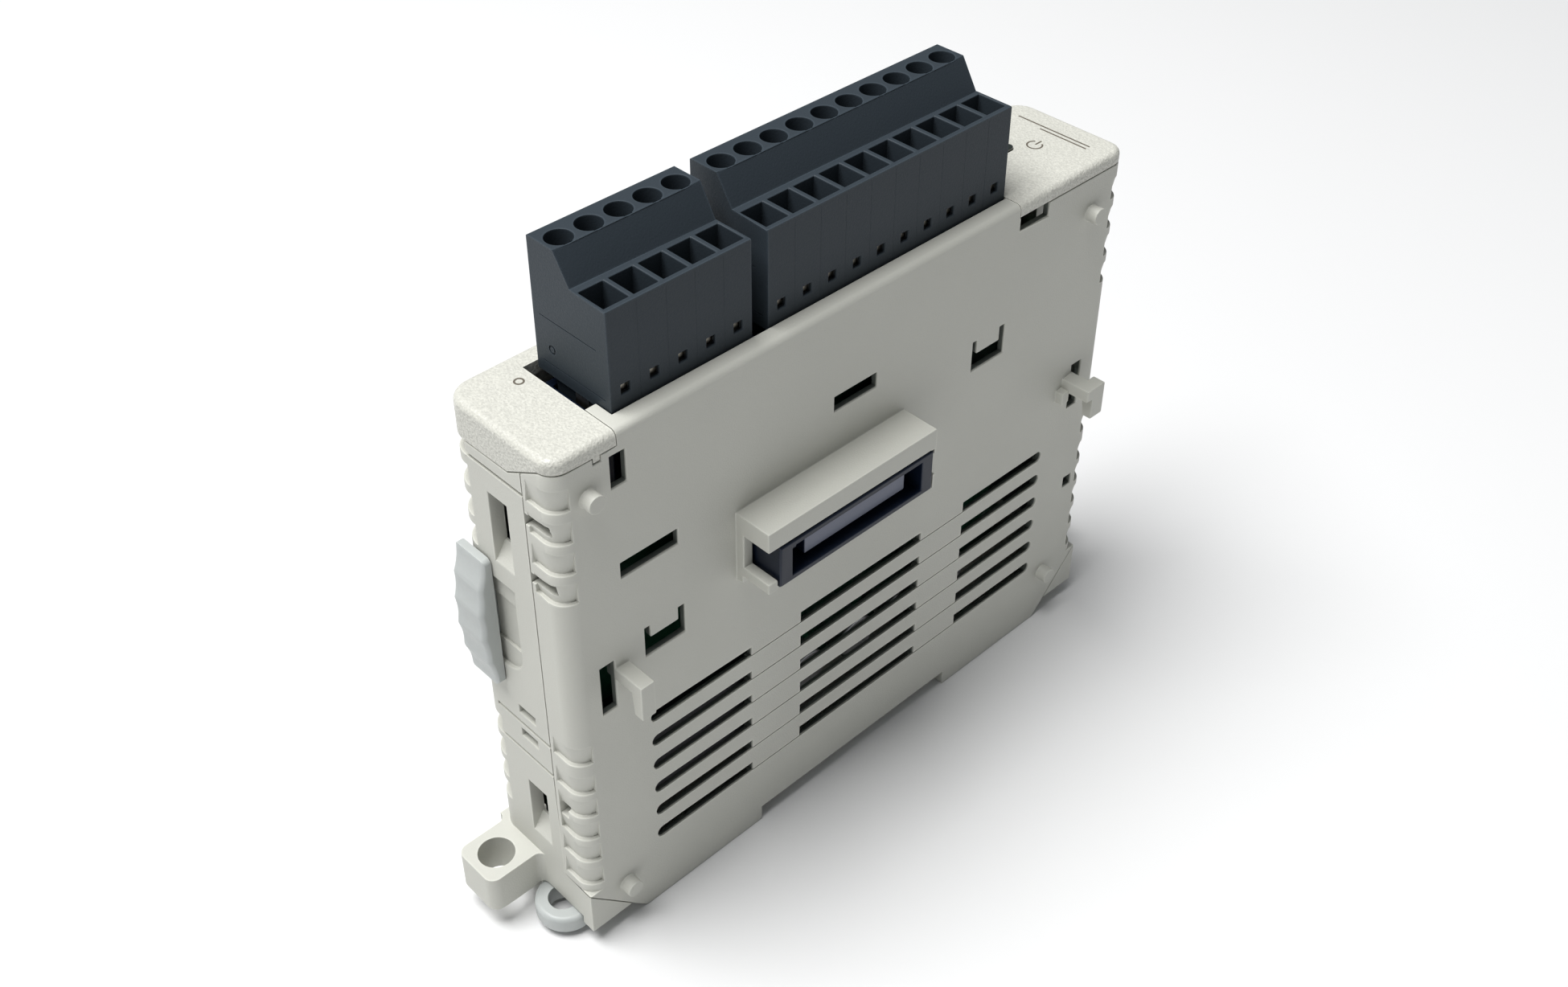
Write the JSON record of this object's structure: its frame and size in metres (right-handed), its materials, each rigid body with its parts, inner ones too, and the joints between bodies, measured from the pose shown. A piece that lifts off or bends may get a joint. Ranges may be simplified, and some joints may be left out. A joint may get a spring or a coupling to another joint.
{
  "type": "plc analog output module",
  "caption": "Slim light-grey housing with two plug-in screw terminal blocks, side vents, expansion connectors, DIN-rail hook and screw ears.",
  "frame": {"origin": "centre of the DIN-rail slot, in the plane of the rear lips", "axes": "+X towards the top end of the mounted module, +Y towards its left side, +Z from the rear to the front terminals"},
  "size_m": [0.1048, 0.023, 0.0896],
  "materials": {
    "housing": "fine-textured warm light grey moulding",
    "cover": "coarse sparkling spark-eroded texture, warm light grey",
    "slider": "natural translucent white moulding",
    "terminal": "satin blue-black moulding",
    "connector": "satin black moulding",
    "lens": "clear tinted light guide",
    "board": "green solder mask",
    "chip": "moulded epoxy",
    "capacitor": "sleeved aluminium can",
    "steel": "zinc-plated",
    "clamp": "nickel-plated",
    "contact": "tin-plated copper alloy"
  },
  "bodies": {
    "housing": {"left_case": "housing", "right_case": "housing", "front_cover": "cover", "status_lens": "lens", "main_board": "board", "connector_board": "board", "terminal_board": "board", "board_screws": "steel", "board_link": "connector", "terminal_link": "connector", "processor_chip": "chip", "dc_converter": "chip", "optocouplers": "chip", "capacitors": "capacitor", "power_led": "lens", "expansion_plug": "connector", "expansion_plug_contacts": "contact", "expansion_socket": "connector", "expansion_socket_contacts": "contact", "header_5": "connector", "header_10": "connector", "header_pins": "contact"},
    "lower_lock": {"slide_lock_lower": "slider"},
    "upper_lock": {"slide_lock_upper": "slider"},
    "rail_hook": {"din_hook": "slider"},
    "bay_cover": {"socket_cover": "housing"},
    "plug_5": {"terminal_plug_5": "terminal", "plug_contacts_5": "contact"},
    "plug_10": {"terminal_plug_10": "terminal", "plug_contacts_10": "contact"},
    "screw_01": {"terminal_screw_01": "steel"},
    "clamp_01": {"wire_clamp_01": "clamp"},
    "screw_02": {"terminal_screw_02": "steel"},
    "clamp_02": {"wire_clamp_02": "clamp"},
    "screw_03": {"terminal_screw_03": "steel"},
    "clamp_03": {"wire_clamp_03": "clamp"},
    "screw_04": {"terminal_screw_04": "steel"},
    "clamp_04": {"wire_clamp_04": "clamp"},
    "screw_05": {"terminal_screw_05": "steel"},
    "clamp_05": {"wire_clamp_05": "clamp"},
    "screw_06": {"terminal_screw_06": "steel"},
    "clamp_06": {"wire_clamp_06": "clamp"},
    "screw_07": {"terminal_screw_07": "steel"},
    "clamp_07": {"wire_clamp_07": "clamp"},
    "screw_08": {"terminal_screw_08": "steel"},
    "clamp_08": {"wire_clamp_08": "clamp"},
    "screw_09": {"terminal_screw_09": "steel"},
    "clamp_09": {"wire_clamp_09": "clamp"},
    "screw_10": {"terminal_screw_10": "steel"},
    "clamp_10": {"wire_clamp_10": "clamp"},
    "screw_11": {"terminal_screw_11": "steel"},
    "clamp_11": {"wire_clamp_11": "clamp"},
    "screw_12": {"terminal_screw_12": "steel"},
    "clamp_12": {"wire_clamp_12": "clamp"},
    "screw_13": {"terminal_screw_13": "steel"},
    "clamp_13": {"wire_clamp_13": "clamp"},
    "screw_14": {"terminal_screw_14": "steel"},
    "clamp_14": {"wire_clamp_14": "clamp"},
    "screw_15": {"terminal_screw_15": "steel"},
    "clamp_15": {"wire_clamp_15": "clamp"}
  },
  "joints": [
    {"name": "plug_5_pull", "type": "slide", "parent": "housing", "child": "plug_5", "axis": [0, 0, 1], "range_m": [0, 0.012]},
    {"name": "plug_10_pull", "type": "slide", "parent": "housing", "child": "plug_10", "axis": [0, 0, 1], "range_m": [0, 0.012]},
    {"name": "lower_lock_slide", "type": "slide", "parent": "housing", "child": "lower_lock", "axis": [0, 0, 1], "range_m": [0, 0.003]},
    {"name": "upper_lock_slide", "type": "slide", "parent": "housing", "child": "upper_lock", "axis": [0, 0, 1], "range_m": [0, 0.003]},
    {"name": "rail_hook_slide", "type": "slide", "parent": "housing", "child": "rail_hook", "axis": [-1, 0, 0], "range_m": [0, 0.003]},
    {"name": "bay_cover_pull", "type": "slide", "parent": "housing", "child": "bay_cover", "axis": [0, 1, 0], "range_m": [0, 0.008]},
    {"name": "screw_01_turn", "type": "hinge", "parent": "plug_5", "child": "screw_01", "pos_m": [-0.03297, 0.00295, 0.08], "axis": [0, 0, 1], "range_deg": [-1440, 0]},
    {"name": "clamp_01_close", "type": "slide", "parent": "plug_5", "child": "clamp_01", "axis": [0, -1, 0], "range_m": [0, 0.0022]},
    {"name": "screw_02_turn", "type": "hinge", "parent": "plug_5", "child": "screw_02", "pos_m": [-0.02916, 0.00295, 0.08], "axis": [0, 0, 1], "range_deg": [-1440, 0]},
    {"name": "clamp_02_close", "type": "slide", "parent": "plug_5", "child": "clamp_02", "axis": [0, -1, 0], "range_m": [0, 0.0022]},
    {"name": "screw_03_turn", "type": "hinge", "parent": "plug_5", "child": "screw_03", "pos_m": [-0.02535, 0.00295, 0.08], "axis": [0, 0, 1], "range_deg": [-1440, 0]},
    {"name": "clamp_03_close", "type": "slide", "parent": "plug_5", "child": "clamp_03", "axis": [0, -1, 0], "range_m": [0, 0.0022]},
    {"name": "screw_04_turn", "type": "hinge", "parent": "plug_5", "child": "screw_04", "pos_m": [-0.02154, 0.00295, 0.08], "axis": [0, 0, 1], "range_deg": [-1440, 0]},
    {"name": "clamp_04_close", "type": "slide", "parent": "plug_5", "child": "clamp_04", "axis": [0, -1, 0], "range_m": [0, 0.0022]},
    {"name": "screw_05_turn", "type": "hinge", "parent": "plug_5", "child": "screw_05", "pos_m": [-0.01773, 0.00295, 0.08], "axis": [0, 0, 1], "range_deg": [-1440, 0]},
    {"name": "clamp_05_close", "type": "slide", "parent": "plug_5", "child": "clamp_05", "axis": [0, -1, 0], "range_m": [0, 0.0022]},
    {"name": "screw_06_turn", "type": "hinge", "parent": "plug_10", "child": "screw_06", "pos_m": [-0.01145, 0.00295, 0.08], "axis": [0, 0, 1], "range_deg": [-1440, 0]},
    {"name": "clamp_06_close", "type": "slide", "parent": "plug_10", "child": "clamp_06", "axis": [0, -1, 0], "range_m": [0, 0.0022]},
    {"name": "screw_07_turn", "type": "hinge", "parent": "plug_10", "child": "screw_07", "pos_m": [-0.00764, 0.00295, 0.08], "axis": [0, 0, 1], "range_deg": [-1440, 0]},
    {"name": "clamp_07_close", "type": "slide", "parent": "plug_10", "child": "clamp_07", "axis": [0, -1, 0], "range_m": [0, 0.0022]},
    {"name": "screw_08_turn", "type": "hinge", "parent": "plug_10", "child": "screw_08", "pos_m": [-0.00383, 0.00295, 0.08], "axis": [0, 0, 1], "range_deg": [-1440, 0]},
    {"name": "clamp_08_close", "type": "slide", "parent": "plug_10", "child": "clamp_08", "axis": [0, -1, 0], "range_m": [0, 0.0022]},
    {"name": "screw_09_turn", "type": "hinge", "parent": "plug_10", "child": "screw_09", "pos_m": [-0.00002, 0.00295, 0.08], "axis": [0, 0, 1], "range_deg": [-1440, 0]},
    {"name": "clamp_09_close", "type": "slide", "parent": "plug_10", "child": "clamp_09", "axis": [0, -1, 0], "range_m": [0, 0.0022]},
    {"name": "screw_10_turn", "type": "hinge", "parent": "plug_10", "child": "screw_10", "pos_m": [0.00379, 0.00295, 0.08], "axis": [0, 0, 1], "range_deg": [-1440, 0]},
    {"name": "clamp_10_close", "type": "slide", "parent": "plug_10", "child": "clamp_10", "axis": [0, -1, 0], "range_m": [0, 0.0022]},
    {"name": "screw_11_turn", "type": "hinge", "parent": "plug_10", "child": "screw_11", "pos_m": [0.0076, 0.00295, 0.08], "axis": [0, 0, 1], "range_deg": [-1440, 0]},
    {"name": "clamp_11_close", "type": "slide", "parent": "plug_10", "child": "clamp_11", "axis": [0, -1, 0], "range_m": [0, 0.0022]},
    {"name": "screw_12_turn", "type": "hinge", "parent": "plug_10", "child": "screw_12", "pos_m": [0.01141, 0.00295, 0.08], "axis": [0, 0, 1], "range_deg": [-1440, 0]},
    {"name": "clamp_12_close", "type": "slide", "parent": "plug_10", "child": "clamp_12", "axis": [0, -1, 0], "range_m": [0, 0.0022]},
    {"name": "screw_13_turn", "type": "hinge", "parent": "plug_10", "child": "screw_13", "pos_m": [0.01522, 0.00295, 0.08], "axis": [0, 0, 1], "range_deg": [-1440, 0]},
    {"name": "clamp_13_close", "type": "slide", "parent": "plug_10", "child": "clamp_13", "axis": [0, -1, 0], "range_m": [0, 0.0022]},
    {"name": "screw_14_turn", "type": "hinge", "parent": "plug_10", "child": "screw_14", "pos_m": [0.01903, 0.00295, 0.08], "axis": [0, 0, 1], "range_deg": [-1440, 0]},
    {"name": "clamp_14_close", "type": "slide", "parent": "plug_10", "child": "clamp_14", "axis": [0, -1, 0], "range_m": [0, 0.0022]},
    {"name": "screw_15_turn", "type": "hinge", "parent": "plug_10", "child": "screw_15", "pos_m": [0.02284, 0.00295, 0.08], "axis": [0, 0, 1], "range_deg": [-1440, 0]},
    {"name": "clamp_15_close", "type": "slide", "parent": "plug_10", "child": "clamp_15", "axis": [0, -1, 0], "range_m": [0, 0.0022]}
  ],
  "couplings": [
    {"joint": "screw_01_turn", "follows": "clamp_01_close", "rad_per_m": -11413},
    {"joint": "screw_02_turn", "follows": "clamp_02_close", "rad_per_m": -11413},
    {"joint": "screw_03_turn", "follows": "clamp_03_close", "rad_per_m": -11413},
    {"joint": "screw_04_turn", "follows": "clamp_04_close", "rad_per_m": -11413},
    {"joint": "screw_05_turn", "follows": "clamp_05_close", "rad_per_m": -11413},
    {"joint": "screw_06_turn", "follows": "clamp_06_close", "rad_per_m": -11413},
    {"joint": "screw_07_turn", "follows": "clamp_07_close", "rad_per_m": -11413},
    {"joint": "screw_08_turn", "follows": "clamp_08_close", "rad_per_m": -11413},
    {"joint": "screw_09_turn", "follows": "clamp_09_close", "rad_per_m": -11413},
    {"joint": "screw_10_turn", "follows": "clamp_10_close", "rad_per_m": -11413},
    {"joint": "screw_11_turn", "follows": "clamp_11_close", "rad_per_m": -11413},
    {"joint": "screw_12_turn", "follows": "clamp_12_close", "rad_per_m": -11413},
    {"joint": "screw_13_turn", "follows": "clamp_13_close", "rad_per_m": -11413},
    {"joint": "screw_14_turn", "follows": "clamp_14_close", "rad_per_m": -11413},
    {"joint": "screw_15_turn", "follows": "clamp_15_close", "rad_per_m": -11413}
  ]
}
